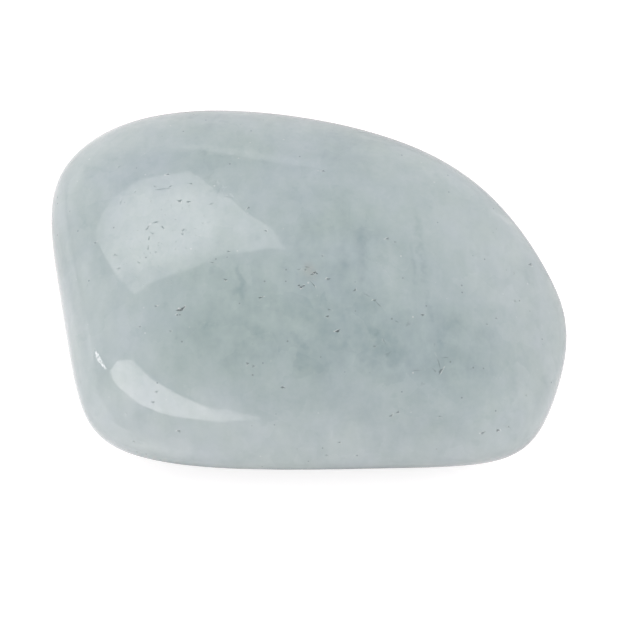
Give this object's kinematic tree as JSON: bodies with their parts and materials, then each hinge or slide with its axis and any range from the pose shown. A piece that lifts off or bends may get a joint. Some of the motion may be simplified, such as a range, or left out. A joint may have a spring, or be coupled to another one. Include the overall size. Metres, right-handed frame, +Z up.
{
  "type": "tumbled stone",
  "caption": "Polished pebble of pale, cloudy blue-grey-green stone, with soft worn faces, rounded edges and a small flat spot to rest on.",
  "frame": {"origin": "on the surface that the stone rests on, under the middle of its outline seen from above", "axes": "+X along the stone's length towards its narrower end, +Y away from its straight front side, +Z up"},
  "size_m": [0.03, 0.0222, 0.0122],
  "materials": {
    "stone": "tumbled to a wet-looking polish, with small open pits"
  },
  "bodies": {
    "root": {"stone": "stone"}
  },
  "joints": []
}
